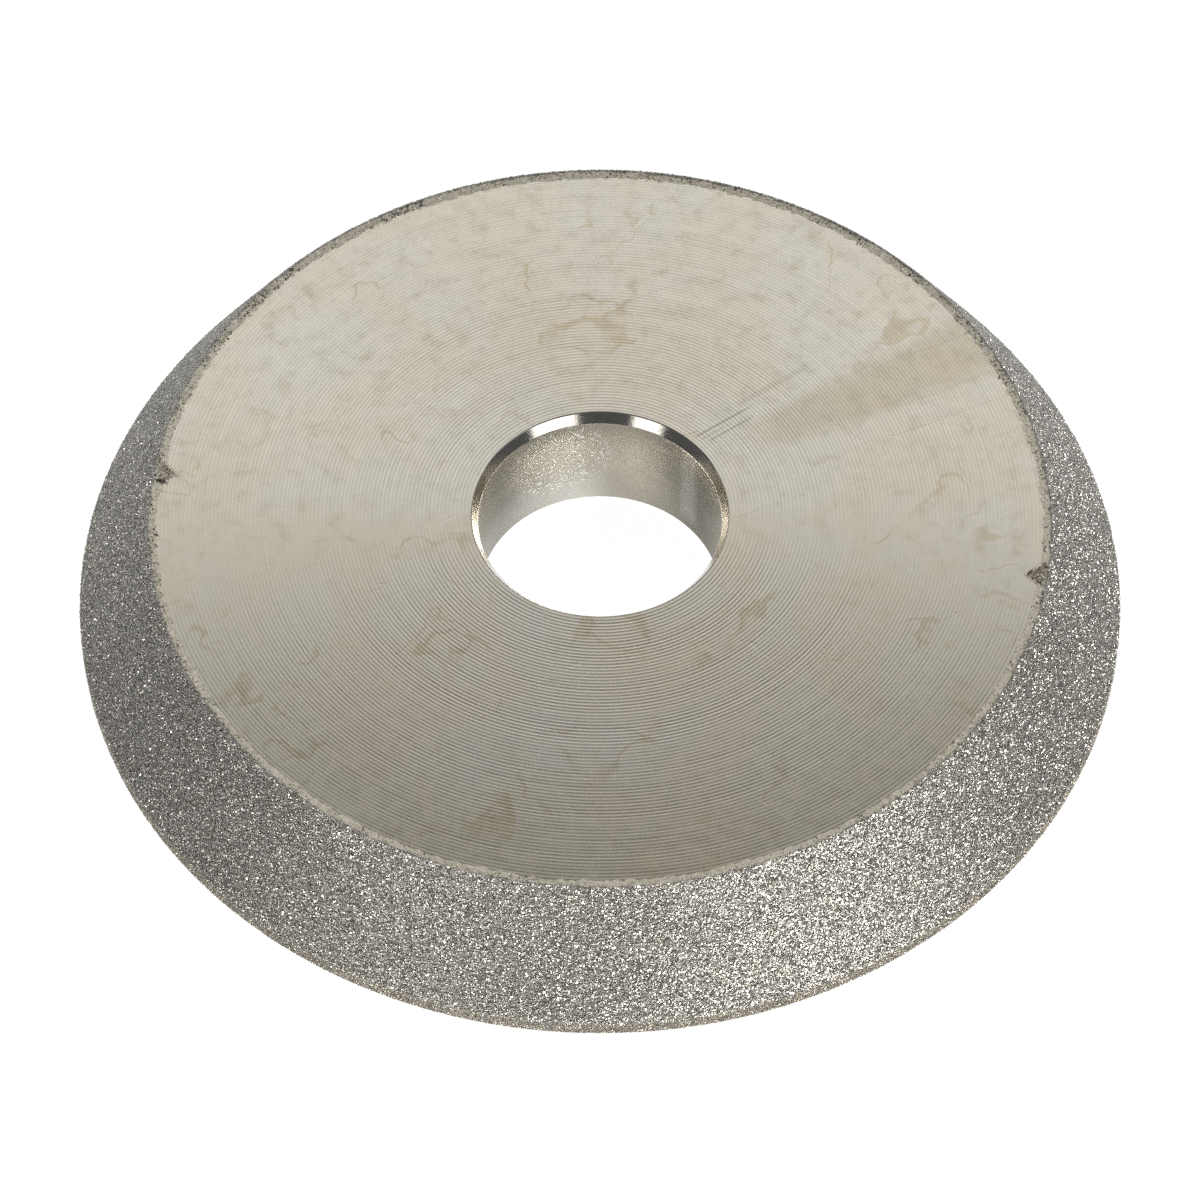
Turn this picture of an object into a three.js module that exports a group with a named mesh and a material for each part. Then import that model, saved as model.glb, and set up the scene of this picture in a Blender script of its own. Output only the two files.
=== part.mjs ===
// A plated diamond grinding wheel with a conical working rim, in millimetres.
// The wheel lies on its back face, with the bore's axis along +Z and its front face up.
// The origin is on the axis, at the back face.
//
// A turned steel blank carries a thin nickel bond on its shoulder and rim, and the bond holds one
// layer of diamond grit. The grit is modelled as the three bands that the wheel grinds with:
// the cone, the cylindrical rim, and the lip where the plating runs over on to the front face.

import * as THREE from "three";

// Overall sizes, measured over the grit.
const wheelDiameter = 78;
const wheelWidth = 10; // back face to front face, without the lip
const faceDiameter = 66.9; // the cone's diameter in the plane of the front face
const rimHeight = 1.2; // the cylindrical rim, up from the back face

// The bore and its bevelled mouths.
const boreDiameter = 18;
const mouthBevelWidth = 0.53; // across the front face
const mouthBevelDepth = 0.82; // down the bore
const backBevel = 0.3; // a plain broken edge at 45 degrees

// The plated layers.
const bondThickness = 0.08;
const gritThickness = 0.15;
const lipWidth = 0.6; // inwards from the cone, over the front face
const lipHeight = 0.2; // above the front face, bond included
const layerGap = 0.01; // between one layer's solid and the next

// Flats round each turned surface, a multiple of four so that the wheel measures its full diameter.
const flatsRound = 144;

const wheelRadius = wheelDiameter / 2;
const faceRadius = faceDiameter / 2;
const boreRadius = boreDiameter / 2;
const coneRun = wheelRadius - faceRadius;
const coneRise = wheelWidth - rimHeight;
const coneSlant = Math.hypot(coneRun, coneRise);

// How far each surface of the plating lies under the wheel's outer surface.
const gritBottom = gritThickness;
const bondTop = gritBottom + layerGap;
const bondBottom = bondTop + bondThickness;
const coreDepth = bondBottom + layerGap;

// The radius of the cone at a height, on a surface that lies so deep under the outer one.
function coneRadius(height, depth) {
  const outer = wheelRadius - ((height - rimHeight) * coneRun) / coneRise;
  return outer - (depth * coneSlant) / coneRise;
}

// The height at which a surface so deep under the outer one turns from the rim into the cone.
function shoulderHeight(depth) {
  const radiusAtRimHeight = coneRadius(rimHeight, depth);
  return rimHeight - ((wheelRadius - depth - radiusAtRimHeight) * coneRise) / coneRun;
}

const material = (color, roughness, metalness) =>
  new THREE.MeshStandardMaterial({ color, roughness, metalness });

// A solid of revolution about Z from a closed outline of [radius, height] points, which runs
// anticlockwise when the radius points right and the height points up.
function turned(name, outline, finish) {
  const points = [...outline, outline[0]].map(([radius, height]) => new THREE.Vector2(radius, height));
  const geometry = new THREE.LatheGeometry(points, flatsRound);
  geometry.rotateX(Math.PI / 2);
  const mesh = new THREE.Mesh(geometry, finish);
  mesh.name = name;
  return mesh;
}

// The turned blank: a straight bore, a flat front and back, and the seat for the plating.
function steelCore() {
  const rimRadius = wheelRadius - coreDepth;
  const outline = [
    [boreRadius, backBevel],
    [boreRadius + backBevel, 0],
    [rimRadius, 0],
    [rimRadius, shoulderHeight(coreDepth)],
    [coneRadius(wheelWidth, coreDepth), wheelWidth],
    [boreRadius + mouthBevelWidth, wheelWidth],
    [boreRadius, wheelWidth - mouthBevelDepth],
  ];
  return turned("steel_core", outline, material(0xb4ada0, 0.35, 1));
}

// The nickel that holds the grit: one skin over the rim, the cone and the edge of the face.
function nickelBond() {
  const bottomOnFace = wheelWidth + layerGap;
  const topOnFace = bottomOnFace + bondThickness;
  const lipInnerRadius = faceRadius - lipWidth;
  const outline = [
    [wheelRadius - bondBottom, 0],
    [wheelRadius - bondTop, 0],
    [wheelRadius - bondTop, shoulderHeight(bondTop)],
    [coneRadius(topOnFace, bondTop), topOnFace],
    [lipInnerRadius, topOnFace],
    [lipInnerRadius, bottomOnFace],
    [coneRadius(bottomOnFace, bondBottom), bottomOnFace],
    [wheelRadius - bondBottom, shoulderHeight(bondBottom)],
  ];
  return turned("nickel_bond", outline, material(0x8f8b82, 0.5, 1));
}

// The grit on the cylindrical rim, from the back face to the mitre with the cone.
function rimDiamondBand() {
  const outline = [
    [wheelRadius - gritBottom, 0],
    [wheelRadius, 0],
    [wheelRadius, rimHeight - layerGap],
    [wheelRadius - gritBottom, shoulderHeight(gritBottom) - layerGap],
  ];
  return turned("rim_diamond_band", outline, material(0xa39e93, 0.75, 0.6));
}

// The grit on the cone, between the mitre with the rim and the level top of the lip.
function coneDiamondBand() {
  const lipTop = wheelWidth + lipHeight;
  const gritFoot = wheelWidth + layerGap + bondThickness + layerGap;
  const outline = [
    [wheelRadius - gritBottom, shoulderHeight(gritBottom)],
    [wheelRadius, rimHeight],
    [coneRadius(lipTop, 0), lipTop],
    [coneRadius(gritFoot, gritBottom), gritFoot],
  ];
  return turned("cone_diamond_band", outline, material(0x8b8880, 0.7, 0.6));
}

// The raised ring of grit and nickel at the line where the masking of the front face stopped.
function edgeDiamondLip() {
  const lipTop = wheelWidth + lipHeight;
  const lipFoot = wheelWidth + layerGap + bondThickness + layerGap;
  const lipInnerRadius = faceRadius - lipWidth;
  const outline = [
    [lipInnerRadius, lipFoot],
    [coneRadius(lipFoot, gritBottom) - layerGap, lipFoot],
    [coneRadius(lipTop, 0) - layerGap, lipTop],
    [lipInnerRadius, lipTop],
  ];
  return turned("edge_diamond_lip", outline, material(0xb5ac99, 0.8, 0.4));
}

const wheel = new THREE.Group();
wheel.add(steelCore(), nickelBond(), rimDiamondBand(), coneDiamondBand(), edgeDiamondLip());

export default wheel;
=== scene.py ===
import math

import bpy
import numpy as np
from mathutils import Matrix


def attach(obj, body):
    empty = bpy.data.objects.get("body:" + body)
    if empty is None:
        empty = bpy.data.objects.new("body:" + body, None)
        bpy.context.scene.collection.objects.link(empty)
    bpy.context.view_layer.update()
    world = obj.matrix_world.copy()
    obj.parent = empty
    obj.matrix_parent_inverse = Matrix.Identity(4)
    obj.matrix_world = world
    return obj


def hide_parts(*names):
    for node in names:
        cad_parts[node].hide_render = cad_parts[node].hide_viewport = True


# A plated diamond grinding wheel, in metres, lying on its back face with its bore along +Z.
# Azimuths are in degrees from +X towards +Y; the camera looks from -Y, so the front is at -90.

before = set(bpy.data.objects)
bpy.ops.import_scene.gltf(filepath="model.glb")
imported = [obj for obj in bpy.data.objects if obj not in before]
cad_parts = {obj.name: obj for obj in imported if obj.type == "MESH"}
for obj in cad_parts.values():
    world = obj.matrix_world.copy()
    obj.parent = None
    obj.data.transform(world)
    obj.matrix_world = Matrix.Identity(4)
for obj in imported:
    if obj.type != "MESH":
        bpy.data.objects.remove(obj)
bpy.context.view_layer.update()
chance = np.random.default_rng(11)
MM = 0.001
SHARP_OVER = 30  # degrees between two faces of a smooth mesh, above which their edge stays sharp
FACET_SCATTER = 0.22  # how far a settled crystal's facet leans from the surface


# ---------------------------------------------------------------- sizes read from the frame

def turned_points(node):
    """The radius and height of every vertex of a turned CAD node."""
    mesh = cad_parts[node].data
    places = np.empty(len(mesh.vertices) * 3)
    mesh.vertices.foreach_get("co", places)
    places = places.reshape(-1, 3)
    return np.hypot(places[:, 0], places[:, 1]), places[:, 2]


TOUCH = 0.002 * MM
core_radii, core_heights = turned_points("steel_core")
on_face = core_heights > core_heights.max() - TOUCH
on_bore = core_radii < core_radii.min() + TOUCH
on_back = core_heights < core_heights.min() + TOUCH
on_seat = core_radii > core_radii.max() - TOUCH
FACE = core_heights.max()
BACK = core_heights.min()
BORE_RADIUS = core_radii.min()
MOUTH_RADIUS = core_radii[on_face].min()
FACE_RADIUS = core_radii[on_face].max()
MOUTH_FOOT = core_heights[on_bore].max()
BACK_BEVEL_TOP = core_heights[on_bore].min()
BACK_MOUTH_RADIUS = core_radii[on_back].min()
SEAT_RADIUS = core_radii.max()
SEAT_TOP = core_heights[on_seat].max()

cone_radii, cone_heights = turned_points("cone_diamond_band")
_, lip_heights = turned_points("edge_diamond_lip")
RIM_RADIUS = cone_radii.max()
RIM_TOP = cone_heights[cone_radii > RIM_RADIUS - TOUCH].max()
CONE_TOP = cone_heights.max()
CONE_TOP_RADIUS = cone_radii[cone_heights > CONE_TOP - TOUCH].max()
LIP_TOP = lip_heights.max()
LIP_RISE = LIP_TOP - FACE

CONE_RUN = RIM_RADIUS - CONE_TOP_RADIUS
CONE_RISE = CONE_TOP - RIM_TOP
CONE_SLANT = math.hypot(CONE_RUN, CONE_RISE)
CONE_OUT = np.array([CONE_RISE, CONE_RUN]) / CONE_SLANT
CONE_DOWN = np.array([CONE_RUN, -CONE_RISE]) / CONE_SLANT


# ---------------------------------------------------------------- mesh helpers

def wavy(angles, rows, octaves, chance):
    """A smooth random value for every row and angle, near -1 to 1, which closes on itself."""
    total = np.zeros((len(rows), len(angles)))
    for turns, rate in octaves:
        phase = chance.uniform(0, 2 * math.pi, 2)
        total += np.sin(angles[None, :] * turns + rows[:, None] * rate + phase[0])
        total += np.sin(angles[None, :] * (turns + 1) - rows[:, None] * rate * 0.7 + phase[1])
    return total / (2 * len(octaves))


def round_noise(angles, count, chance):
    """One random value at each angle, smooth between count places round the circle."""
    values = chance.uniform(-1, 1, count)
    at = angles / (2 * math.pi) * count
    low = np.floor(at).astype(int)
    share = at - low
    share = share * share * (3 - 2 * share)
    return values[low % count] * (1 - share) + values[(low + 1) % count] * share


def mesh_object(name, points, faces, materials, slots=None, smooth=True, marks=None):
    """An object from an (n, 3) array of points and an (m, k) array of faces with k corners each.
    marks are further values for each point, kept by name for the materials."""
    mesh = bpy.data.meshes.new(name)
    corners = faces.shape[1]
    mesh.vertices.add(len(points))
    mesh.vertices.foreach_set("co", np.ascontiguousarray(points, np.float32).ravel())
    mesh.loops.add(faces.size)
    mesh.loops.foreach_set("vertex_index", np.ascontiguousarray(faces, np.int32).ravel())
    mesh.polygons.add(len(faces))
    mesh.polygons.foreach_set("loop_start", np.arange(0, faces.size, corners, dtype=np.int32))
    for material in materials:
        mesh.materials.append(material)
    if slots is not None:
        mesh.polygons.foreach_set("material_index", np.ascontiguousarray(slots, np.int32))
    for mark, values in (marks or {}).items():
        kept = mesh.attributes.new(mark, "FLOAT", "POINT")
        kept.data.foreach_set("value", np.ascontiguousarray(values, np.float32).ravel())
    mesh.update(calc_edges=True)
    if smooth:
        mesh.shade_smooth()
        mesh.set_sharp_from_angle(angle=math.radians(SHARP_OVER))
    else:
        mesh.shade_flat()
    made = bpy.data.objects.new(name, mesh)
    bpy.context.scene.collection.objects.link(made)
    return made


def ring_faces(rows, columns):
    """Quads between closed rings, with the last ring joined to the first."""
    row, column = np.meshgrid(np.arange(rows), np.arange(columns), indexing="ij")
    up = (row + 1) % rows
    on = (column + 1) % columns
    return np.stack(
        [row * columns + column, row * columns + on, up * columns + on, up * columns + column], -1
    ).reshape(-1, 4)


def turned_object(name, radii, heights, materials, slots=None, marks=None):
    """A closed ring of material from (rows, columns) arrays: each column is an outline that runs
    anticlockwise with the radius to the right and the height up."""
    rows, columns = radii.shape
    angles = np.arange(columns) / columns * 2 * math.pi
    points = np.stack([radii * np.cos(angles), radii * np.sin(angles), heights], -1).reshape(-1, 3)
    face_slots = None if slots is None else np.repeat(slots, columns)
    faces = ring_faces(rows, columns)
    return mesh_object(name, points, faces, materials, face_slots, marks=marks)


def unit(vectors):
    return vectors / np.linalg.norm(vectors, axis=-1, keepdims=True)


CRYSTAL_CORNERS = np.array(
    [[1, 0, 0], [0, 1, 0], [-1, 0, 0], [0, -1, 0], [0, 0, 1], [0, 0, -1]], float
)
CRYSTAL_SIDES = np.array(
    [[0, 1, 4], [1, 2, 4], [2, 3, 4], [3, 0, 4], [1, 0, 5], [2, 1, 5], [3, 2, 5], [0, 3, 5]]
)


def crystals(centres, sizes, normals, lying, chance):
    """Grit: an uneven eight-sided crystal at each centre. Returns points and faces.

    A share of them, lying, settled with one facet about level with the surface. The rest point
    anywhere."""
    count = len(centres)
    stretch = chance.uniform(0.75, 1.25, (count, 6, 1))
    shift = chance.normal(0, 0.09, (count, 6, 3))
    shapes = CRYSTAL_CORNERS[None] * stretch + shift

    anywhere = unit(chance.normal(size=(count, 3)))
    settled = unit(normals + FACET_SCATTER * chance.normal(size=(count, 3)))
    facing = np.where(chance.random((count, 1)) < lying, settled, anywhere)
    across = unit(np.cross(facing, unit(chance.normal(size=(count, 3)))))
    turn = np.stack([across, np.cross(facing, across), facing], -1)
    facet = unit(np.array([1.0, 1.0, 1.0]))
    side = unit(np.array([1.0, -1.0, 0.0]))
    own = np.stack([side, np.cross(facet, side), facet], -1)
    points = shapes @ own @ turn.transpose(0, 2, 1)
    points = points * sizes[:, None, None] + centres[:, None]
    return points.reshape(-1, 3), crystal_faces(count)


def crystal_faces(count):
    """The faces of so many crystals, one after the other."""
    firsts = np.arange(count) * len(CRYSTAL_CORNERS)
    return (CRYSTAL_SIDES[None] + firsts[:, None, None]).reshape(-1, 3)


def slivers(centres, ways, lengths, widths, chance):
    """Thin eight-sided splinters, each with its long axis along its way. Returns points and faces."""
    across = unit(np.cross(ways, unit(chance.normal(size=ways.shape))))
    beside = np.cross(ways, across)
    axes = np.stack([across * widths[:, None], beside * widths[:, None], ways * lengths[:, None]], 1)
    points = CRYSTAL_CORNERS[None] @ axes + centres[:, None]
    return points.reshape(-1, 3), crystal_faces(len(centres))


# ---------------------------------------------------------------- shader helpers

class Shader:
    """A new Principled material and short calls that add nodes to it."""

    def __init__(self, name, **values):
        self.material = bpy.data.materials.new(name)
        self.material.use_nodes = True
        self.tree = self.material.node_tree
        self.principled = self.tree.nodes["Principled BSDF"]
        for socket, value in values.items():
            self.put(self.principled, socket.replace("_", " "), value)

    def put(self, node, socket, value):
        target = node.inputs[socket]
        if isinstance(value, bpy.types.NodeSocket):
            self.tree.links.new(value, target)
        else:
            target.default_value = value

    def add(self, kind, inputs=None, **settings):
        node = self.tree.nodes.new("ShaderNode" + kind)
        for setting, value in settings.items():
            setattr(node, setting, value)
        for socket, value in (inputs or {}).items():
            self.put(node, socket, value)
        return node

    def math(self, operation, first, second=0.0, third=0.0):
        return self.add("Math", {0: first, 1: second, 2: third}, operation=operation).outputs[0]

    def vector(self, operation, first, second=(0, 0, 0)):
        node = self.add("VectorMath", {0: first, 1: second}, operation=operation)
        return node.outputs["Value" if operation in ("LENGTH", "DOT_PRODUCT") else "Vector"]

    def noise(self, where, scale, detail=2.0, roughness=0.5):
        node = self.add(
            "TexNoise",
            {"Vector": where, "Scale": scale, "Detail": detail, "Roughness": roughness},
        )
        return node.outputs["Fac"]

    def ramp(self, value, low, high, start=0.0, end=1.0):
        """start at low, end at high, smooth between and level outside."""
        node = self.add(
            "MapRange",
            {"Value": value, "From Min": low, "From Max": high, "To Min": start, "To Max": end},
            interpolation_type="SMOOTHSTEP",
        )
        return node.outputs["Result"]

    def mix(self, share, first, second, blend="MIX"):
        node = self.add("Mix", {0: share, 6: first, 7: second}, data_type="RGBA", blend_type=blend)
        return node.outputs[2]

    def bump(self, height, distance, strength=1.0):
        inputs = {"Height": height, "Distance": distance, "Strength": strength}
        return self.add("Bump", inputs).outputs["Normal"]

    def place(self):
        """The piece's own coordinates in millimetres."""
        return self.vector("MULTIPLY", self.add("TexCoord").outputs["Object"], (1000, 1000, 1000))

    def polar(self, place, radial, round_about):
        """Coordinates that stretch a pattern along circles about Z: radial per millimetre of
        radius, round_about per turn. They have no seam."""
        flat = self.vector("MULTIPLY", place, (1, 1, 0))
        radius = self.vector("LENGTH", flat)
        way = self.vector("NORMALIZE", flat)
        turned = self.vector("MULTIPLY", way, (round_about, round_about, 0))
        deep = self.add("CombineXYZ", {"Z": self.math("MULTIPLY", radius, radial)}).outputs[0]
        return self.vector("ADD", turned, deep), radius

    def along(self, place, azimuth):
        """Millimetres along, and to the left of, a line from the axis at this azimuth."""
        a = math.radians(azimuth)
        ahead = self.vector("DOT_PRODUCT", place, (math.cos(a), math.sin(a), 0))
        left = self.vector("DOT_PRODUCT", place, (-math.sin(a), math.cos(a), 0))
        return ahead, left


WIPE_AZIMUTH = 29.3
WIPE_LINES_AZIMUTH = 35.0
# Thin dark lines beside the wipe: millimetres to the left of a line at that azimuth, where along
# it each starts and ends, its half width, and its strength.
WIPE_LINES = (
    (1.74, 9.7, 15.4, 0.13, 0.6),
    (1.30, 9.9, 13.0, 0.09, 0.45),
    (0.86, 10.3, 15.0, 0.11, 0.5),
    (2.45, 14.0, 21.5, 0.35, 0.22),
)
# The azimuth of the painted shade that darkens the outer front of the face.
PAINTED_SHADE_AZIMUTH = -88.0
# Families of hair scratches: the azimuth that they follow, and how much they are drawn out.
HAIRS = ((25.0, 0.05), (-38.0, 0.07), (80.0, 0.06))


def plate_colour(s, place, radius, cloud, mottle):
    """The warm plate itself: clouds, dark groove valleys, bands, mottling and painted shade over the
    front.
    """
    coarse, _ = s.polar(place, 3.5, 1.4)
    bands = s.noise(coarse, 1.0, 2.0)
    colour = s.mix(s.ramp(cloud, 0.35, 0.65), (0.705, 0.683, 0.625, 1), (0.71, 0.66, 0.565, 1))
    valley = s.add("Attribute", attribute_name="valley").outputs["Fac"]
    colour = s.mix(s.ramp(valley, 0.3, 1.3, 0.0, 0.11), colour, (0.42, 0.395, 0.33, 1))
    colour = s.mix(s.ramp(bands, 0.35, 0.7, 0.0, 0.2), colour, (0.64, 0.61, 0.55, 1))
    colour = s.mix(s.ramp(mottle, 0.54, 0.74, 0.0, 0.42), colour, (0.58, 0.52, 0.39, 1))
    # Painted shade: the outer front of the face is darkened in its colour.
    ahead, _ = s.along(place, PAINTED_SHADE_AZIMUTH)
    painted_shade = s.math("MULTIPLY", s.ramp(radius, 19.0, 32.0), s.ramp(ahead, 6.0, 26.0))
    return s.mix(s.math("MULTIPLY", painted_shade, 0.28), colour, (0.50, 0.47, 0.36, 1))


def wiped_on(s, place, cloud, colour):
    """A brown wipe that widens towards the rim, with thin dark lines beside it."""
    ahead, left = s.along(place, WIPE_AZIMUTH)
    left = s.math("ADD", left, s.math("MULTIPLY_ADD", cloud, 2.4, -1.2))
    width = s.math("MULTIPLY_ADD", ahead, 0.085, 0.5)
    side = s.math("DIVIDE", s.math("ABSOLUTE", left), s.math("MAXIMUM", width, 0.3))
    wipe = s.math("MULTIPLY", s.ramp(side, 0.5, 1.2, 1.0, 0.0), s.ramp(ahead, 11.0, 17.0))
    colour = s.mix(s.math("MULTIPLY", wipe, 0.5), colour, (0.51, 0.45, 0.32, 1))
    ahead, left = s.along(place, WIPE_LINES_AZIMUTH)
    for left_by, start, end, half_width, strength in WIPE_LINES:
        across = s.math("ABSOLUTE", s.math("SUBTRACT", left, left_by))
        line = s.math("MULTIPLY", s.ramp(across, 0.4 * half_width, half_width, 1.0, 0.0),
                      s.ramp(ahead, start, start + 0.6))
        line = s.math("MULTIPLY", line, s.ramp(ahead, end - 1.5, end, strength, 0.0))
        colour = s.mix(line, colour, (0.30, 0.27, 0.21, 1))
    return colour


def stained(s, place, radius, colour):
    """Tea-coloured stains that seep in from the rim, and thin brown runs like dried drips."""
    streaks, _ = s.polar(place, 0.35, 14.0)
    seep = s.ramp(s.noise(streaks, 1.0, 3.0, 0.6), 0.56, 0.72)
    seep = s.math("MULTIPLY", seep, s.ramp(radius, 26.0, 33.0))
    colour = s.mix(s.math("MULTIPLY", seep, 0.45), colour, (0.52, 0.44, 0.31, 1))

    # A run is the middle line of a slow, bent pattern, shown here and there.
    sway = s.add("TexNoise", {"Vector": place, "Scale": 0.35, "Detail": 2.0}).outputs["Color"]
    bent = s.vector("ADD", place, s.vector("MULTIPLY", sway, (5, 5, 0)))
    slow = s.noise(bent, 0.10, 2.0, 0.5)
    run = s.ramp(s.math("ABSOLUTE", s.math("SUBTRACT", slow, 0.5)), 0.002, 0.013, 1.0, 0.0)
    run = s.math("MULTIPLY", run, s.ramp(s.noise(place, 0.16, 3.0), 0.47, 0.6))
    return s.mix(s.math("MULTIPLY", run, 0.5), colour, (0.50, 0.42, 0.27, 1))


def hair_scratches(s, place):
    """1 on thin lines where stretched noise crosses its middle value, 0 elsewhere."""
    scratch = 0.0
    for azimuth, stretch in HAIRS:
        ahead, left = s.along(place, azimuth)
        pulled = s.add("CombineXYZ", {"X": s.math("MULTIPLY", ahead, stretch), "Y": left}).outputs[0]
        wave = s.noise(pulled, 0.35, 1.0)
        line = s.ramp(s.math("ABSOLUTE", s.math("SUBTRACT", wave, 0.5)), 0.0, 0.0035, 1.0, 0.0)
        line = s.math("MULTIPLY", line, s.ramp(s.noise(pulled, 0.9, 0.0), 0.62, 0.7))
        scratch = s.math("MAXIMUM", scratch, line)
    return scratch


def turned_nickel():
    """Facing-turned steel under a thin warm nickel plate: fine rings, stains, pits and scratches."""
    s = Shader("turned_nickel", Metallic=1.0, Anisotropic=0.35, Anisotropic_Rotation=0.25)
    place = s.place()
    fine, radius = s.polar(place, 26.0, 2.2)
    rings = s.noise(fine, 1.0, 3.0, 0.6)
    cloud = s.noise(place, 0.09, 4.0, 0.6)
    mottle = s.noise(place, 0.7, 5.0, 0.65)
    pits = s.ramp(s.noise(place, 5.0, 2.0, 0.5), 0.70, 0.76)

    colour = plate_colour(s, place, radius, cloud, mottle)
    colour = wiped_on(s, place, cloud, colour)
    colour = stained(s, place, radius, colour)
    colour = s.mix(s.math("MULTIPLY", pits, 0.45), colour, (0.36, 0.32, 0.26, 1))
    s.put(s.principled, "Base Color", colour)

    rough = s.math("ADD", s.ramp(rings, 0.3, 0.7, 0.15, 0.21), s.ramp(mottle, 0.4, 0.75, -0.01, 0.05))
    s.put(s.principled, "Roughness", rough)

    height = s.math("SUBTRACT", rings, s.math("MULTIPLY", hair_scratches(s, place), 2.0))
    height = s.math("SUBTRACT", height, s.math("MULTIPLY", pits, 1.5))
    s.put(s.principled, "Normal", s.bump(height, 0.0006 * MM, 1.0))
    return s.material


def mirror_bevel():
    """The bright bevel of the bore's mouth, with a little pitting."""
    s = Shader("mirror_bevel", Metallic=1.0)
    place = s.place()
    pits = s.noise(place, 7.0, 3.0, 0.7)
    s.put(s.principled, "Base Color",
          s.mix(s.ramp(pits, 0.45, 0.7), (0.86, 0.85, 0.82, 1), (0.70, 0.67, 0.60, 1)))
    s.put(s.principled, "Roughness", s.ramp(pits, 0.4, 0.75, 0.07, 0.18))
    s.put(s.principled, "Normal", s.bump(pits, 0.01 * MM, 0.5))
    return s.material


SPECK_PATCH = (-3.2, 8.3, 5.6)  # the middle of the bright specks, in millimetres
SHADE_AND_LIGHT_AZIMUTH = 132.0  # painted shade at the top of the bore here, and painted light low on the wall
LIGHT_STREAK_AZIMUTH = 42.0  # an upright painted light patch


def frosted_bore():
    """The bore's frosted nickel: dull and cloudy, with bright specks that carry a painted glint,
    painted shade at the top and towards the bottom, and two patches of painted light.
    """
    s = Shader("frosted_bore", Metallic=1.0)
    place = s.place()
    cloud = s.noise(place, 0.25, 4.0, 0.6)
    grain = s.noise(place, 6.0, 3.0, 0.6)
    height = s.add("SeparateXYZ", {0: place}).outputs["Z"]
    colour = s.mix(s.ramp(cloud, 0.35, 0.65), (0.60, 0.562, 0.475, 1), (0.70, 0.66, 0.565, 1))
    ahead, _ = s.along(place, SHADE_AND_LIGHT_AZIMUTH)
    # Painted shade: the upper wall near this azimuth is darkened in its colour.
    painted_shade = s.math("MULTIPLY", s.ramp(height, 5.2, 8.6), s.ramp(ahead, 5.6, 8.2))
    colour = s.mix(s.math("MULTIPLY", painted_shade, 0.32), colour, (0.44, 0.42, 0.37, 1))
    # Painted shade: the colour darkens towards the bottom of the bore all round.
    low = s.ramp(height, 0.8, 4.4, 1.0, 0.0)
    colour = s.mix(s.math("MULTIPLY", low, 0.45), colour, (0.45, 0.42, 0.35, 1))
    # Painted light: a lighter patch low on the wall near this azimuth.
    painted_light = s.math("MULTIPLY", s.ramp(height, 1.5, 5.5, 1.0, 0.0), s.ramp(ahead, 5.6, 8.0))
    colour = s.mix(s.math("MULTIPLY", painted_light, 0.85), colour, (0.92, 0.89, 0.82, 1))
    colour = s.mix(s.ramp(grain, 0.5, 0.75, 0.0, 0.25), colour, (0.50, 0.46, 0.40, 1))
    # Bright specks: smoother and bumped, with painted glints in their near-white colour.
    spots = s.ramp(s.noise(place, 3.4, 1.0, 0.4), 0.585, 0.625)
    from_patch = s.vector("LENGTH", s.vector("SUBTRACT", place, SPECK_PATCH))
    patch = s.ramp(from_patch, 2.4, 5.0, 1.0, 0.0)
    specks_and_painted_glint = s.math("MULTIPLY", spots, patch)
    colour = s.mix(specks_and_painted_glint, colour, (0.95, 0.93, 0.88, 1))
    # Painted light: an upright lighter streak on the wall at this azimuth.
    ahead, left = s.along(place, LIGHT_STREAK_AZIMUTH)
    painted_light_streak = s.math("MULTIPLY", s.ramp(s.math("ABSOLUTE", left), 0.3, 1.3, 1.0, 0.0),
                   s.ramp(s.math("MULTIPLY", ahead, height), 5.0, 20.0))
    colour = s.mix(s.math("MULTIPLY", painted_light_streak, 0.85), colour, (0.93, 0.89, 0.80, 1))
    s.put(s.principled, "Base Color", colour)
    s.put(s.principled, "Roughness", s.math("SUBTRACT", s.ramp(cloud, 0.3, 0.7, 0.42, 0.52),
                                            s.math("MULTIPLY", specks_and_painted_glint, 0.2)))
    s.put(s.principled, "Normal", s.bump(s.math("ADD", grain, specks_and_painted_glint), 0.012 * MM, 0.7))
    return s.material


def back_nickel():
    """The back and the hidden seat: coarser turning under the same plate."""
    s = Shader("back_nickel", Metallic=1.0, Anisotropic=0.35, Anisotropic_Rotation=0.25)
    place = s.place()
    fine, _ = s.polar(place, 18.0, 1.6)
    rings = s.noise(fine, 1.0, 3.0, 0.6)
    cloud = s.noise(place, 0.08, 4.0, 0.6)
    colour = s.mix(s.ramp(cloud, 0.35, 0.65), (0.70, 0.675, 0.62, 1), (0.66, 0.61, 0.53, 1))
    s.put(s.principled, "Base Color", colour)
    s.put(s.principled, "Roughness", s.ramp(rings, 0.3, 0.7, 0.3, 0.42))
    s.put(s.principled, "Normal", s.bump(rings, 0.003 * MM, 1.0))
    return s.material


def plated_crust():
    """The knobbly nickel between the grains, pale on its knobs, with painted shade darkening its gaps.
    """
    s = Shader("bond_nickel", Metallic=0.85)
    place = s.place()
    knobs_and_gap_shade = s.noise(place, 4.5, 3.0, 0.6)
    fine = s.noise(place, 11.0, 2.0, 0.5)
    # Painted shade: where this noise is low the colour darkens, standing in for shade in the gaps
    # between knobs.
    colour = s.mix(s.ramp(knobs_and_gap_shade, 0.35, 0.6), (0.28, 0.27, 0.25, 1), (0.62, 0.61, 0.585, 1))
    colour = s.mix(s.ramp(fine, 0.6, 0.72, 0.0, 0.6), colour, (0.70, 0.69, 0.66, 1))
    s.put(s.principled, "Base Color", colour)
    s.put(s.principled, "Roughness", s.ramp(fine, 0.3, 0.7, 0.4, 0.4 + 0.15))
    s.put(s.principled, "Normal", s.bump(fine, 0.03 * MM, 0.8))
    return s.material


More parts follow.
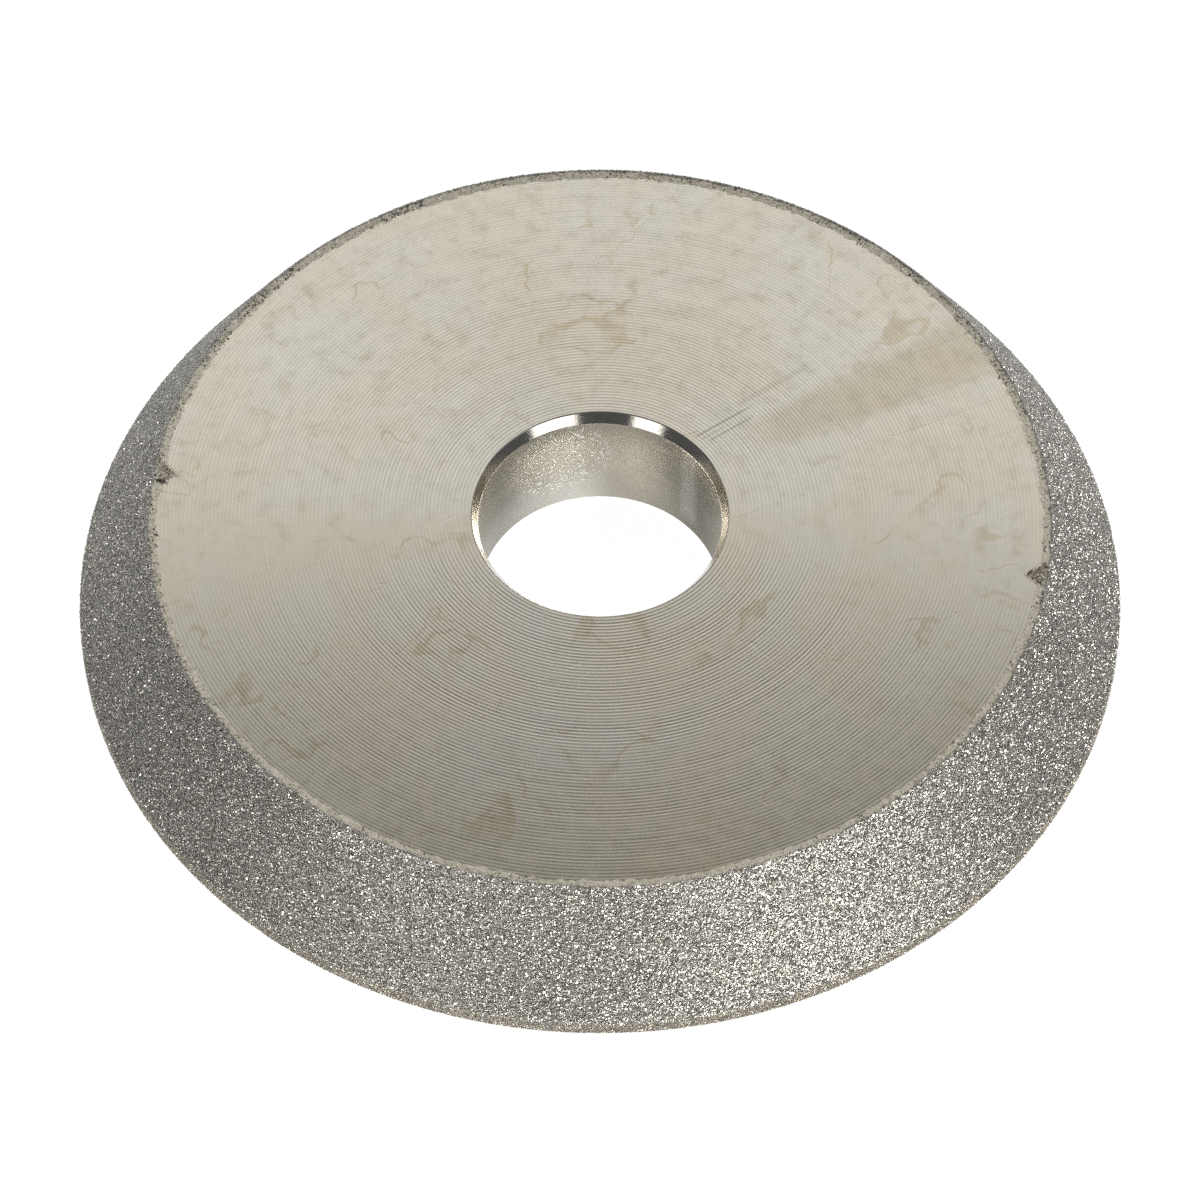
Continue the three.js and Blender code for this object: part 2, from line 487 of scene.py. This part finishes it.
def lip_crust():
    """The cream crust of the lip, streaked tan along the edge."""
    s = Shader("lip_nickel", Metallic=0.6)
    place = s.place()
    streaks, _ = s.polar(place, 7.0, 90.0)
    streak = s.noise(streaks, 1.0, 3.0, 0.6)
    fine = s.noise(place, 9.0, 2.0, 0.5)
    colour = s.mix(s.ramp(streak, 0.35, 0.62), (0.74, 0.68, 0.56, 1), (0.94, 0.90, 0.80, 1))
    colour = s.mix(s.ramp(fine, 0.62, 0.72, 0.0, 0.65), colour, (0.42, 0.37, 0.27, 1))
    s.put(s.principled, "Base Color", colour)
    s.put(s.principled, "Roughness", s.ramp(fine, 0.3, 0.7, 0.34, 0.5))
    s.put(s.principled, "Normal", s.bump(fine, 0.03 * MM, 0.8))
    return s.material


def crystal_materials(tints):
    """Plain glossy crystal faces in several tints. The variety is from crystal to crystal."""
    made = []
    for name, colour, metallic, roughness in tints:
        made.append(
            Shader(name, Base_Color=(*colour, 1), Metallic=metallic, Roughness=roughness).material
        )
    return made


# ---------------------------------------------------------------- the turned blank

BODY_COLUMNS = 200
GROOVE_PITCH = 0.285 * MM
GROOVE_DEPTH = 0.0042 * MM
BACK_PITCH = 0.5 * MM
BACK_DEPTH = 0.003 * MM
EDGE_BREAK = 0.035 * MM
TURNED, BEVEL, BORE, HIDDEN = range(4)


def facing_grooves(start, end, pitch, depth, shape, chance):
    """Radii and depths of the rings that a facing tool leaves from start to end. shape lists each
    groove's points as (share of the pitch, share of the depth)."""
    count = round(abs(end - start) / pitch)
    edges = np.linspace(start, end, count + 1)
    edges[1:-1] += chance.uniform(-0.05, 0.05, count - 1) * pitch
    group = 1 + 0.16 * np.sin(np.arange(count) * 0.75 + 2 * np.sin(np.arange(count) * 0.23))
    depths = depth * group * chance.uniform(0.82, 1.18, count)
    radii, cuts = [], []
    for k in range(count):
        for across, down in shape:
            radii.append(edges[k] + (edges[k + 1] - edges[k]) * across)
            cuts.append(depths[k] * down)
    return np.array(radii), np.array(cuts)


def turned_body():
    """The whole blank as one closed ring: bore, back, seat, grooved face and bevelled mouth."""
    groove = ((0.0, 0.0), (0.3, 0.45), (0.62, 1.0), (0.86, 0.55))
    back_groove = ((0.0, 0.0), (0.6, 1.0))
    angles = np.arange(BODY_COLUMNS) / BODY_COLUMNS * 2 * math.pi
    e = EDGE_BREAK
    outline = []

    def add(radius, height, slot, valley=0.0):
        ring = np.ones(BODY_COLUMNS)
        outline.append((radius * ring, height * ring, slot, valley * ring))

    def grooved(start, end, height, into, pitch, depth, shape, slot):
        radii, cuts = facing_grooves(start, end, pitch, depth, shape, chance)
        uneven = wavy(angles, radii / MM, ((1, 0.8), (2, 1.9), (5, 0.3)), chance)
        for radius, cut, wave in zip(radii, cuts, uneven):
            inner = min(max((24 * MM - radius) / (14 * MM), -1), 1)
            here = cut * (1 + 0.25 * wave) * (1 + 0.25 * inner)
            add(radius, height + into * here, slot, here / depth)

    bevel_run = MOUTH_RADIUS - BORE_RADIUS
    bevel_drop = FACE - MOUTH_FOOT
    add(BORE_RADIUS, BACK_BEVEL_TOP + e, BEVEL)
    add(BORE_RADIUS + 0.3 * e, BACK_BEVEL_TOP, BEVEL)
    add(BACK_MOUTH_RADIUS - e, BACK + 0.5 * e, HIDDEN)
    grooved(BACK_MOUTH_RADIUS + e, SEAT_RADIUS - 3 * e, BACK, 1, BACK_PITCH, BACK_DEPTH,
            back_groove, HIDDEN)
    add(SEAT_RADIUS - e, BACK, HIDDEN)
    add(SEAT_RADIUS, BACK + e, HIDDEN)
    add(SEAT_RADIUS, SEAT_TOP, HIDDEN)
    add(FACE_RADIUS, FACE, TURNED)
    grooved(FACE_RADIUS - e, MOUTH_RADIUS + e, FACE, -1, GROOVE_PITCH, GROOVE_DEPTH, groove, TURNED)
    add(MOUTH_RADIUS + e, FACE, TURNED)
    for down in (0.05, 0.12, 0.9, 0.96):
        add(MOUTH_RADIUS - bevel_run * down, FACE - bevel_drop * down, BEVEL)
    add(BORE_RADIUS, MOUTH_FOOT - e, BORE)

    radii, heights, slots, valleys = (np.array(column) for column in zip(*outline))
    materials = [turned_nickel(), mirror_bevel(), frosted_bore(), back_nickel()]
    made = turned_object("turned_body", radii, heights, materials, slots, {"valley": valleys})
    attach(made, "root")
    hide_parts("steel_core")


# ---------------------------------------------------------------- the plated layers

MATRIX_COLUMNS = 1000
MATRIX_ROW = 0.2 * MM
MATRIX_DEPTH = 0.075 * MM
MATRIX_ROUGHNESS = 0.018 * MM
GRAIN_PITCH = 0.133 * MM
GRAIN_SIZE = 0.09 * MM
RIM_GRAIN_PITCH = 0.12 * MM
RIM_GRAIN_SIZE = 0.058 * MM
CONE_SECTORS = 8


def plated_matrix():
    """The nickel between the grains, as an uneven skin over the cone and the rim."""
    steps = round(CONE_SLANT / MATRIX_ROW)
    along = np.linspace(0, CONE_SLANT, steps + 1)
    top = np.array([CONE_TOP_RADIUS, CONE_TOP])
    outer = top + along[:, None] * CONE_DOWN - MATRIX_DEPTH * CONE_OUT
    rim_steps = round((RIM_TOP - BACK) / MATRIX_ROW)
    rim = [(RIM_RADIUS - MATRIX_DEPTH, z) for z in np.linspace(RIM_TOP, BACK, rim_steps + 1)[1:]]
    skin = np.vstack([outer, rim])[::-1]
    inner = np.array([(FACE_RADIUS, FACE + 0.5 * LIP_RISE), (FACE_RADIUS - 0.2 * MM, FACE - 0.1 * MM),
                      (SEAT_RADIUS - 0.2 * MM, SEAT_TOP), (SEAT_RADIUS - 0.2 * MM, BACK)])
    rough = chance.normal(0, MATRIX_ROUGHNESS, (len(skin), MATRIX_COLUMNS))
    rough[0] = 0
    radii = np.vstack([skin[:, :1] + rough * CONE_OUT[0], np.repeat(inner[:, :1], MATRIX_COLUMNS, 1)])
    heights = np.vstack([skin[:, 1:] + rough * CONE_OUT[1], np.repeat(inner[:, 1:], MATRIX_COLUMNS, 1)])
    made = turned_object("plated_matrix", radii, np.maximum(heights, BACK), [plated_crust()])
    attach(made, "root")
    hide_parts("nickel_bond")


def scattered(length, radius_at, pitch, chance):
    """Distances along an outline and angles round it, about a pitch apart in both directions."""
    ways, turns = [], []
    rows = round(length / (pitch * 0.93))
    for k in range(rows):
        way = (k + 0.5) / rows * length
        count = round(2 * math.pi * radius_at(way) / pitch)
        ways.append(way + chance.uniform(-0.42, 0.42, count) * pitch)
        turns.append((np.arange(count) + chance.uniform(-0.42, 0.42, count)) / count * 2 * math.pi)
    return np.clip(np.concatenate(ways), 0, length), np.concatenate(turns) % (2 * math.pi)


def round_axis(radii, angles, heights):
    """Points or directions from their parts outwards and up, at angles about Z."""
    return np.stack([radii * np.cos(angles), radii * np.sin(angles), heights + 0 * angles], -1)


def grains(radii, heights, angles, sizes, out, lying):
    """Crystals on a turned surface, whose normal is out: its parts outwards and up."""
    centres = round_axis(radii, angles, heights)
    return crystals(centres, sizes, round_axis(out[0], angles, out[1]), lying, chance)


def grit_object(name, points, faces, tints, tint, node):
    """One piece of grit on the body. tint says which of the tints each crystal has."""
    made = mesh_object(name, points, faces, tints, np.repeat(tint, len(CRYSTAL_SIDES)), smooth=False)
    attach(made, "root")
    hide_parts(node)


CONE_TINTS = (
    ("grit_grey", (0.64, 0.637, 0.62), 0.85, 0.50),
    ("grit_pale", (0.75, 0.74, 0.71), 0.9, 0.44),
    ("grit_dark", (0.41, 0.402, 0.365), 0.7, 0.5),
    ("grit_amber", (0.62, 0.57, 0.46), 0.7, 0.42),
    ("grit_bright", (0.94, 0.93, 0.905), 0.95, 0.17),
)
CONE_SHARES = (0.47, 0.30, 0.15, 0.02, 0.06)
CONE_LYING = 0.55
PAINTED_LIGHT_TINT = 1  # pale, painted light: the grains along the cone's top edge, on the far side
PAINTED_LIGHT_WIDTH = 0.4 * MM
PAINTED_LIGHT_SHARE = 0.85


def cone_grit():
    """The working cone's grit, in sectors."""
    def radius_at(way):
        return CONE_TOP_RADIUS + way * CONE_DOWN[0]

    ways, angles = scattered(CONE_SLANT, radius_at, GRAIN_PITCH, chance)
    depth = chance.uniform(0.025, 0.075, len(ways)) * MM
    radii = CONE_TOP_RADIUS + ways * CONE_DOWN[0] - depth * CONE_OUT[0]
    heights = CONE_TOP + ways * CONE_DOWN[1] - depth * CONE_OUT[1]
    sizes = GRAIN_SIZE * chance.uniform(0.75, 1.25, len(ways))
    materials = crystal_materials(CONE_TINTS)
    tint = chance.choice(len(materials), size=len(ways), p=CONE_SHARES)
    # Painted light: grains along the top edge on the far side take the pale tint, to lighten that edge.
    on_far_side = np.sin(angles) > 0.2
    painted_light = (ways < PAINTED_LIGHT_WIDTH) & on_far_side & (chance.random(len(ways)) < PAINTED_LIGHT_SHARE)
    tint[painted_light] = PAINTED_LIGHT_TINT
    sector = np.floor(angles / (2 * math.pi) * CONE_SECTORS).astype(int)
    for k in range(CONE_SECTORS):
        mine = sector == k
        points, faces = grains(radii[mine], heights[mine], angles[mine], sizes[mine], CONE_OUT,
                               CONE_LYING)
        grit_object(f"cone_grit_{k + 1}", points, faces, materials, tint[mine],
                    "cone_diamond_band")


RIM_TINTS = (
    ("rim_grit_pale", (0.66, 0.63, 0.56), 0.7, 0.42),
    ("rim_grit_grey", (0.48, 0.46, 0.42), 0.7, 0.45),
    ("rim_grit_warm", (0.60, 0.53, 0.40), 0.6, 0.45),
)
RIM_SHARES = (0.5, 0.3, 0.2)
RIM_LYING = 0.5


def rim_grit():
    """Finer, duller grit round the cylindrical rim."""
    ways, angles = scattered(RIM_TOP - BACK, lambda way: RIM_RADIUS, RIM_GRAIN_PITCH, chance)
    heights = RIM_TOP - ways
    sizes = RIM_GRAIN_SIZE * chance.uniform(0.75, 1.2, len(ways))
    heights = np.maximum(heights, BACK + 1.3 * sizes)
    radii = RIM_RADIUS - chance.uniform(0.03, 0.07, len(ways)) * MM
    tint = chance.choice(len(RIM_TINTS), size=len(ways), p=RIM_SHARES)
    points, faces = grains(radii, heights, angles, sizes, (1, 0), RIM_LYING)
    grit_object("rim_grit", points, faces, crystal_materials(RIM_TINTS), tint,
                "rim_diamond_band")


# ---------------------------------------------------------------- the raised lip

LIP_COLUMNS = 3000
LIP_ROWS = 11
LIP_SKIN = 0.05 * MM
LIP_CREST = 0.14  # millimetres above the face
# Places where the plating crept in over the face: the azimuth of the tip, how many degrees on the
# far and the near side of it the creep ends, and how far in from the cone the tip reaches.
CREEPS = ((173.6, -3.0, 1.9, 1.85 * MM), (-10.4, 3.1, -2.1, 1.75 * MM))


def creep_reach(away, far, near, reach):
    """How far in a creep reaches at degrees away from its tip."""
    share = np.where(away * far > 0, away / far, away / near)
    return reach * np.clip(1 - share**1.3, 0, 1)


def lip_width(angles):
    """How far in from the edge of the cone the lip reaches at each angle."""
    usual = 0.66 + 0.09 * round_noise(angles, 90, chance) + 0.11 * round_noise(angles, 520, chance)
    width = usual * MM
    for tip, far, near, reach in CREEPS:
        away = (np.degrees(angles) - tip + 180) % 360 - 180
        width = np.maximum(width, creep_reach(away, far, near, reach))
    return width


def edge_lip():
    """The crust of nickel at the masking line. It thins out inwards until it sinks in the face."""
    angles = np.arange(LIP_COLUMNS) / LIP_COLUMNS * 2 * math.pi
    width = lip_width(angles)
    crest = LIP_CREST * (1 + 0.25 * round_noise(angles, 200, chance))
    radii, heights = [], []
    for across in np.linspace(0, 1, LIP_ROWS):
        lumps = chance.normal(0, 0.024 * MM, LIP_COLUMNS)
        lumps = (lumps + np.roll(lumps, 1) + 0.5 * np.roll(lumps, 2)) / 1.8
        shape = min(1.0, 0.5 + 5 * across) * (1 - across) ** 0.9
        radii.append(CONE_TOP_RADIUS - 0.02 * MM - width * 1.08 * across)
        heights.append(FACE + (crest * shape - 0.008) * MM + lumps * (1 - 0.6 * across))
    radii.append(radii[-1])
    heights.append(np.full(LIP_COLUMNS, FACE - LIP_SKIN))
    radii.append(radii[0] - 0.05 * MM)
    heights.append(np.full(LIP_COLUMNS, FACE - LIP_SKIN))
    heights = np.array(heights)
    heights[LIP_ROWS - 1] = FACE - 0.3 * LIP_SKIN
    made = turned_object("edge_lip", np.array(radii), heights, [lip_crust()])
    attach(made, "root")
    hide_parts("edge_diamond_lip")


LIP_TINTS = (
    ("lip_grit_cream", (0.92, 0.87, 0.77), 0.35, 0.45),
    ("lip_grit_tan", (0.62, 0.56, 0.44), 0.2, 0.5),
    ("lip_grit_brown", (0.27, 0.235, 0.165), 0.2, 0.5),
    ("lip_grit_dark", (0.12, 0.112, 0.09), 0.2, 0.5),
)
CREAM, TAN, BROWN, DARK = range(4)
LIP_LYING = 0.3
LIP_CRUMBS = 8500
LIP_BRISTLES = 2600
CREPT_CRUMBS = 420


def nearness(angles, azimuth, spread):
    """1 at an azimuth, falling to 0 at spread degrees from it."""
    away = (np.degrees(angles) - azimuth + 180) % 360 - 180
    return np.clip(1 - np.abs(away) / spread, 0, 1)


def dark_and_shade_share(angles):
    """How much of the lip is dark: little in front, most on the far left and the far right. The dark
    crumbs are real; their extra share on the far sides is painted shade.
    """
    clusters = 0.5 + 0.5 * round_noise(angles, 240, chance)
    sides = np.cos(angles) ** 2
    far = nearness(angles, 133, 30) + 0.7 * nearness(angles, 45, 32)
    back = 0.5 * nearness(angles, 90, 50)
    return (0.03 + 0.14 * sides + 0.42 * (far + back)) * (0.2 + 1.6 * clusters)


def lip_crumbs():
    """Crumbs and single grains all along the lip: their radii, heights, angles, sizes and tints."""
    angles = chance.uniform(0, 2 * math.pi, LIP_CRUMBS)
    dark = chance.random(LIP_CRUMBS) < dark_and_shade_share(angles)
    across = chance.beta(1.0, 1.4, LIP_CRUMBS)
    # Painted shade: on the far left the dark crumbs gather towards the inner side of the lip.
    shaded_far_left = chance.random(LIP_CRUMBS) < nearness(angles, 133, 40)
    across = np.where(dark & shaded_far_left, chance.beta(2.4, 1.6, LIP_CRUMBS), across)
    radii = CONE_TOP_RADIUS + 0.04 * MM - lip_width(angles) * 1.15 * across
    heights = FACE + (LIP_CREST * (1 - across) - 0.02 + chance.uniform(-0.01, 0.02, LIP_CRUMBS)) * MM
    sizes = chance.uniform(0.03, 0.06, LIP_CRUMBS) * MM
    sizes[dark] *= 1.45
    tint = np.where(chance.random(LIP_CRUMBS) < 0.2, TAN, CREAM)
    tint[dark] = np.where(chance.random(dark.sum()) < 0.35, BROWN, DARK)
    return radii, heights, angles, sizes, tint


def crept_crumbs(tip, far, near, reach):
    """The speckled crumbs within one creep. A smooth strip is left along its far edge."""
    away = chance.triangular(min(far, near), 0.25 * (far + near), max(far, near), CREPT_CRUMBS)
    limit = creep_reach(away, far * 0.82, near, reach * 0.88)
    radii = CONE_TOP_RADIUS + 0.05 * MM - limit * chance.uniform(0, 1, CREPT_CRUMBS)
    angles = np.radians(tip + away)
    sizes = chance.uniform(0.035, 0.07, CREPT_CRUMBS) * MM
    tint = chance.choice(4, size=CREPT_CRUMBS, p=(0.5, 0.2, 0.15, 0.15))
    heights = FACE + chance.uniform(0.05, 0.09, CREPT_CRUMBS) * MM
    heights[tint >= BROWN] += 0.02 * MM
    keep = limit > 0.25 * MM
    return radii[keep], heights[keep], angles[keep], sizes[keep], tint[keep]


def dark_patch(azimuth, depth, spread_round, spread_in, count):
    """A cluster of dark crumbs: its azimuth and depth in from the cone, and how far it spreads."""
    angles = np.radians(chance.normal(azimuth, spread_round, count))
    radii = CONE_TOP_RADIUS - chance.normal(depth, spread_in, count) * MM
    heights = np.full(count, FACE + 0.11 * MM)
    return radii, heights, angles, chance.uniform(0.045, 0.08, count) * MM, np.full(count, DARK)


def lip_bristles():
    """Thin splinters across the lip, most of them by the cone. Returns points, faces and tints."""
    angles = chance.uniform(0, 2 * math.pi, LIP_BRISTLES)
    left = nearness(angles, 190, 55)
    angles = angles[chance.random(LIP_BRISTLES) < 0.2 + 0.8 * left + 0.4 * nearness(angles, 10, 60)]
    count = len(angles)
    across = chance.beta(1.1, 2.4, count)
    radii = CONE_TOP_RADIUS + 0.05 * MM - lip_width(angles) * 1.2 * across
    heights = FACE + (LIP_CREST * (1 - across) + 0.015) * MM
    turn = angles + chance.normal(0, 0.55, count)
    ways = unit(round_axis(1.0, turn, chance.normal(0, 0.12, count)))
    lengths = chance.uniform(0.07, 0.17, count) * MM
    widths = chance.uniform(0.02, 0.036, count) * MM
    points, faces = slivers(round_axis(radii, angles, heights), ways, lengths, widths, chance)
    return points, faces, chance.choice(4, size=count, p=(0.3, 0.1, 0.35, 0.25))


def crack_dashes():
    """The dark open cracks in the creep on the right: one by its tip and a short one by the cone."""
    tip, far, near, reach = CREEPS[1]
    far_end = far * 0.82
    shares = np.array([0.10, 0.17, 0.24, 0.42, 0.74, 0.80])
    lengths = np.array([0.24, 0.26, 0.2, 0.07, 0.14, 0.16]) * MM
    widths = np.array([0.05, 0.065, 0.05, 0.04, 0.05, 0.05]) * MM
    angles = np.radians(tip + far_end * shares)
    radii = CONE_TOP_RADIUS - creep_reach(far_end * shares, far_end, near, reach * 0.88)
    centres = round_axis(radii, angles, FACE + 0.11 * MM)
    first, last = centres[0], centres[-1]
    ways = np.repeat(unit(last - first)[None], len(shares), 0)
    points, faces = slivers(centres, ways, lengths, widths, chance)
    return points, faces, np.full(len(shares), DARK)


def lip_grit():
    """Everything loose or caught in the lip, as one piece."""
    sets = [lip_crumbs()]
    for creep in CREEPS:
        sets.append(crept_crumbs(*creep))
    sets.append(dark_patch(174.9, 0.6, 0.14, 0.34, 40))
    radii, heights, angles, sizes, tint = (np.concatenate(parts) for parts in zip(*sets))
    points, faces = grains(radii, heights, angles, sizes, (0, 1), LIP_LYING)
    for more_points, more_faces, more_tint in (lip_bristles(), crack_dashes()):
        faces = np.vstack([faces, more_faces + len(points)])
        points = np.vstack([points, more_points])
        tint = np.concatenate([tint, more_tint])
    grit_object("lip_grit", points, faces, crystal_materials(LIP_TINTS), tint,
                "edge_diamond_lip")


# ---------------------------------------------------------------- camera, floor and light

CAMERA_DISTANCE = 0.4036
CAMERA_ELEVATION = 52.43
CAMERA_TILT_BELOW = 0.916
SENSOR = 36.0
FOCAL_LENGTH = 164.1


def camera():
    """A long lens in front of the wheel, looking down at it."""
    lens = bpy.data.cameras.new("camera")
    lens.sensor_width = SENSOR
    lens.lens = FOCAL_LENGTH
    lens.clip_start = 0.01
    lens.clip_end = 10
    made = bpy.data.objects.new("camera", lens)
    up = math.radians(CAMERA_ELEVATION)
    made.location = (0, -CAMERA_DISTANCE * math.cos(up), FACE + CAMERA_DISTANCE * math.sin(up))
    made.rotation_euler = (math.radians(90 - CAMERA_ELEVATION - CAMERA_TILT_BELOW), 0, 0)
    bpy.context.scene.collection.objects.link(made)
    bpy.context.scene.camera = made


FLOOR_SIDE = 3.0
FLOOR_GLOW = 0.93


def floor():
    """A pale floor that glows a little, so that it stays white. Nothing mirrors it."""
    s = Shader("pale_floor", Base_Color=(0.4, 0.4, 0.4, 1), Roughness=0.9)
    s.put(s.principled, "Specular IOR Level", 0.0)
    s.put(s.principled, "Emission Color", (1, 1, 1, 1))
    s.put(s.principled, "Emission Strength", FLOOR_GLOW)
    side = FLOOR_SIDE
    corners = np.array([[-side, -side, 0], [side, -side, 0], [side, side, 0], [-side, side, 0]])
    made = mesh_object("floor", corners, np.array([[0, 1, 2, 3]]), [s.material])
    made.location.z = BACK
    made.visible_glossy = False


# The studio as soft-edged panels on a far sphere: azimuth and elevation of the middle, half width,
# half height and softness of the edge in degrees, and radiance. They add up. The two strongest are
# below the horizon, where the level face can't mirror them and the grit's facets can. The two
# boxes above it still burn out the face when it is seen low, from behind.
WARM = (1.0, 0.955, 0.875)
PALE = (1.0, 0.985, 0.94)
NEUTRAL = (1.0, 1.0, 0.99)
BACKDROP = (
    (90, 18, 80, 14, 5, 0.36),
    (90, 38, 80, 6, 3, 0.60),
    (90, 46, 80, 2.5, 2, 0.50),
    (90, 50.5, 80, 2, 2, 0.82),
    (90, 54.5, 80, 2, 2, 0.09),
    (90, 59.5, 80, 3, 2, 0.08),
    (90, 68, 80, 5, 3, 0.16),
    (0, 82, 180, 9, 3, 0.32),
)
SOFTBOXES = (
    (-55, 13, 16, 11, 2, 1.6),
    (-126.3, 13, 10, 11, 2, 1.5),
    (-52, -13, 24, 12, 3, 15.0),
    (-124, -13, 18, 12, 3, 4.0),
)
SIDES = (
    (0, 30, 35, 14, 4, 0.30),
    (180, 40, 35, 20, 6, 0.03),
    (-90, 46, 50, 17, 6, 0.04),
    (0, -42, 40, 25, 5, 0.30),
    (180, -42, 40, 25, 5, 0.18),
    (-90, -35, 45, 30, 5, 0.46),
    (90, -35, 45, 30, 5, 0.80),
    (0, -80, 180, 15, 3, 1.0),
)
SURROUND = 0.075
STUDIO = ((PALE, BACKDROP), (WARM, SOFTBOXES), (NEUTRAL, SIDES))


def sky(studio, surround):
    """A world that shines as the groups of panels say, over an even surround."""
    world = bpy.data.worlds.new("studio")
    bpy.context.scene.world = world
    world.use_nodes = True
    tree = world.node_tree
    way = tree.nodes.new("ShaderNodeTexCoord").outputs["Generated"]

    def value(operation, first, second=0.0):
        node = tree.nodes.new("ShaderNodeMath")
        node.operation = operation
        for socket, given in zip(node.inputs, (first, second)):
            if isinstance(given, bpy.types.NodeSocket):
                tree.links.new(given, socket)
            else:
                socket.default_value = given
        return node.outputs[0]

    def dot(direction):
        node = tree.nodes.new("ShaderNodeVectorMath")
        node.operation = "DOT_PRODUCT"
        tree.links.new(way, node.inputs[0])
        node.inputs[1].default_value = direction
        return node.outputs["Value"]

    def within(angle, middle, half, softness, strength=1.0):
        node = tree.nodes.new("ShaderNodeMapRange")
        node.interpolation_type = "SMOOTHSTEP"
        away = value("ABSOLUTE", value("SUBTRACT", angle, math.radians(middle)))
        tree.links.new(away, node.inputs["Value"])
        node.inputs["From Min"].default_value = math.radians(half)
        node.inputs["From Max"].default_value = math.radians(half + softness)
        node.inputs["To Min"].default_value = strength
        node.inputs["To Max"].default_value = 0.0
        return node.outputs["Result"]

    height = value("ARCSINE", dot((0, 0, 1)))
    shining = tree.nodes["Background"]
    shining.inputs["Strength"].default_value = surround
    shining.inputs["Color"].default_value = (1, 1, 1, 1)
    output = shining.outputs[0]
    for colour, panels in studio:
        light = 0.0
        for azimuth, elevation, half_width, half_height, softness, radiance in panels:
            a = math.radians(azimuth)
            ahead = dot((math.cos(a), math.sin(a), 0))
            left = dot((-math.sin(a), math.cos(a), 0))
            beside = within(value("ARCTAN2", left, ahead), 0, half_width, softness)
            level = within(height, elevation, half_height, softness, radiance)
            light = value("ADD", light, value("MULTIPLY", beside, level))
        group = tree.nodes.new("ShaderNodeBackground")
        group.inputs["Color"].default_value = (*colour, 1)
        tree.links.new(light, group.inputs["Strength"])
        both = tree.nodes.new("ShaderNodeAddShader")
        tree.links.new(output, both.inputs[0])
        tree.links.new(group.outputs[0], both.inputs[1])
        output = both.outputs[0]
    tree.links.new(output, tree.nodes["World Output"].inputs["Surface"])


# ---------------------------------------------------------------- the picture

camera()
floor()
sky(STUDIO, SURROUND)
bpy.context.scene.view_settings.view_transform = "Standard"
bpy.context.scene.cycles.use_denoising = False

turned_body()
plated_matrix()
cone_grit()
rim_grit()
edge_lip()
lip_grit()
